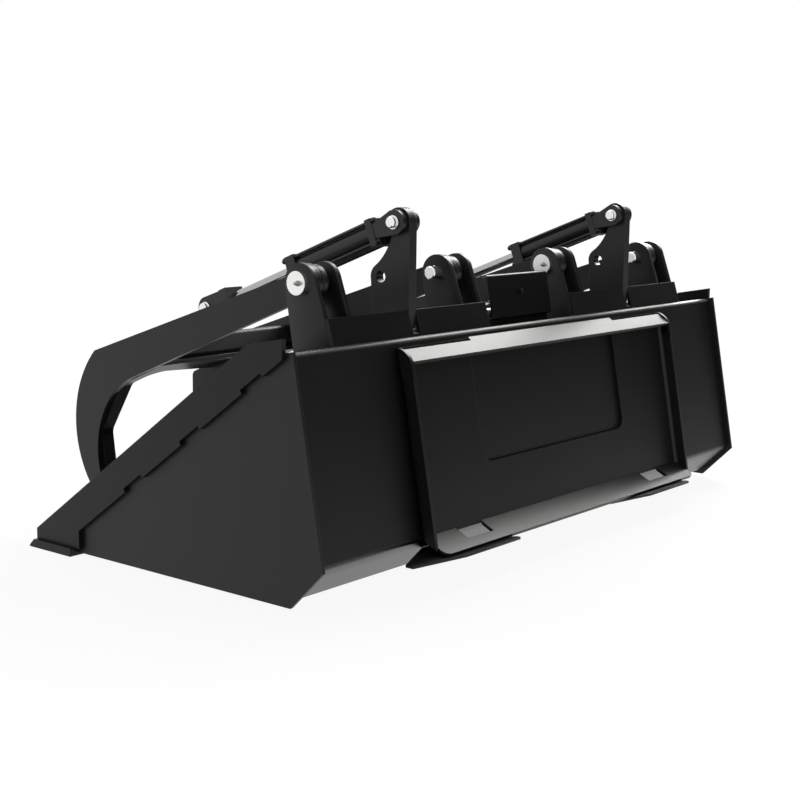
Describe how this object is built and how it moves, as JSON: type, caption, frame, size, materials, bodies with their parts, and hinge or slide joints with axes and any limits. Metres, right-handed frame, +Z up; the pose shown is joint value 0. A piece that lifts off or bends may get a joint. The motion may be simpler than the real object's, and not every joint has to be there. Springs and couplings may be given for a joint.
{
  "type": "grapple bucket",
  "caption": "Black loader grapple bucket with hooked grapples, each opened by a tie-rod hydraulic cylinder, and a universal quick-attach frame on its back.",
  "frame": {"origin": "middle of the cutting edge's underside, on the ground", "axes": "+X across the bucket to the right as seen from behind, +Y forward to the cutting edge, +Z up"},
  "size_m": [1.873, 1.0561, 0.824],
  "materials": {
    "black_paint": "satin",
    "zinc_steel": "satin",
    "rod_chrome": "polished",
    "plain_steel": "satin"
  },
  "bodies": {
    "bucket": {"bucket_shell": "black_paint", "side_plate_left": "black_paint", "side_plate_right": "black_paint", "side_cutter_left": "black_paint", "side_cutter_right": "black_paint", "cutting_edge": "black_paint", "attach_face": "black_paint", "attach_top_lip": "black_paint", "attach_low_lip": "black_paint", "lip_gusset_left": "black_paint", "lip_gusset_right": "black_paint", "hinge_ears_1": "black_paint", "hinge_ears_2": "black_paint", "hinge_ears_3": "black_paint", "hinge_ears_4": "black_paint", "back_gusset_1": "black_paint", "back_gusset_2": "black_paint", "back_gusset_3": "black_paint", "back_gusset_4": "black_paint", "mast_left": "black_paint", "mast_right": "black_paint", "hose_cover": "black_paint", "cover_bolt": "plain_steel", "hose_couplers": "zinc_steel", "hinge_pin_1": "zinc_steel", "hinge_pin_2": "zinc_steel", "hinge_pin_3": "zinc_steel", "hinge_pin_4": "zinc_steel", "hinge_nuts": "zinc_steel", "mast_pin_left": "zinc_steel", "mast_pin_right": "zinc_steel"},
    "grapple_left": {"tine_1": "black_paint", "tine_2": "black_paint", "web_left": "black_paint", "cross_tube_left": "black_paint", "rod_lug_left": "black_paint", "web_rib_left": "black_paint"},
    "grapple_right": {"tine_3": "black_paint", "tine_4": "black_paint", "web_right": "black_paint", "cross_tube_right": "black_paint", "rod_lug_right": "black_paint", "web_rib_right": "black_paint"},
    "barrel_body_left": {"cylinder_base_left": "black_paint", "barrel_left": "black_paint", "gland_left": "black_paint", "tie_rods_left": "black_paint"},
    "rod_body_left": {"piston_left": "plain_steel", "rod_left": "rod_chrome", "rod_clevis_left": "black_paint", "rod_pin_left": "zinc_steel"},
    "barrel_body_right": {"cylinder_base_right": "black_paint", "barrel_right": "black_paint", "gland_right": "black_paint", "tie_rods_right": "black_paint"},
    "rod_body_right": {"piston_right": "plain_steel", "rod_right": "rod_chrome", "rod_clevis_right": "black_paint", "rod_pin_right": "zinc_steel"}
  },
  "joints": [
    {"name": "grapple_left_hinge", "type": "hinge", "parent": "bucket", "child": "grapple_left", "pos_m": [-0.472, -0.64, 0.666], "axis": [1, 0, 0], "range_deg": [0, 45]},
    {"name": "cylinder_left_hinge", "type": "hinge", "parent": "bucket", "child": "barrel_body_left", "pos_m": [-0.472, -0.69, 0.791], "axis": [1, 0, 0], "range_deg": [0, 41]},
    {"name": "rod_left_slide", "type": "slide", "parent": "barrel_body_left", "child": "rod_body_left", "axis": [0, -0.933, 0.36], "range_m": [0, 0.0945]},
    {"name": "grapple_right_hinge", "type": "hinge", "parent": "bucket", "child": "grapple_right", "pos_m": [0.472, -0.64, 0.666], "axis": [1, 0, 0], "range_deg": [0, 45]},
    {"name": "cylinder_right_hinge", "type": "hinge", "parent": "bucket", "child": "barrel_body_right", "pos_m": [0.472, -0.69, 0.791], "axis": [1, 0, 0], "range_deg": [0, 41]},
    {"name": "rod_right_slide", "type": "slide", "parent": "barrel_body_right", "child": "rod_body_right", "axis": [0, -0.933, 0.36], "range_m": [0, 0.0945]}
  ],
  "couplings": [
    {"joint": "cylinder_left_hinge", "follows": "grapple_left_hinge", "ratio": 0.904},
    {"joint": "rod_left_slide", "follows": "grapple_left_hinge", "m_per_rad": 0.11975},
    {"joint": "cylinder_right_hinge", "follows": "grapple_right_hinge", "ratio": 0.904},
    {"joint": "rod_right_slide", "follows": "grapple_right_hinge", "m_per_rad": 0.11975}
  ]
}
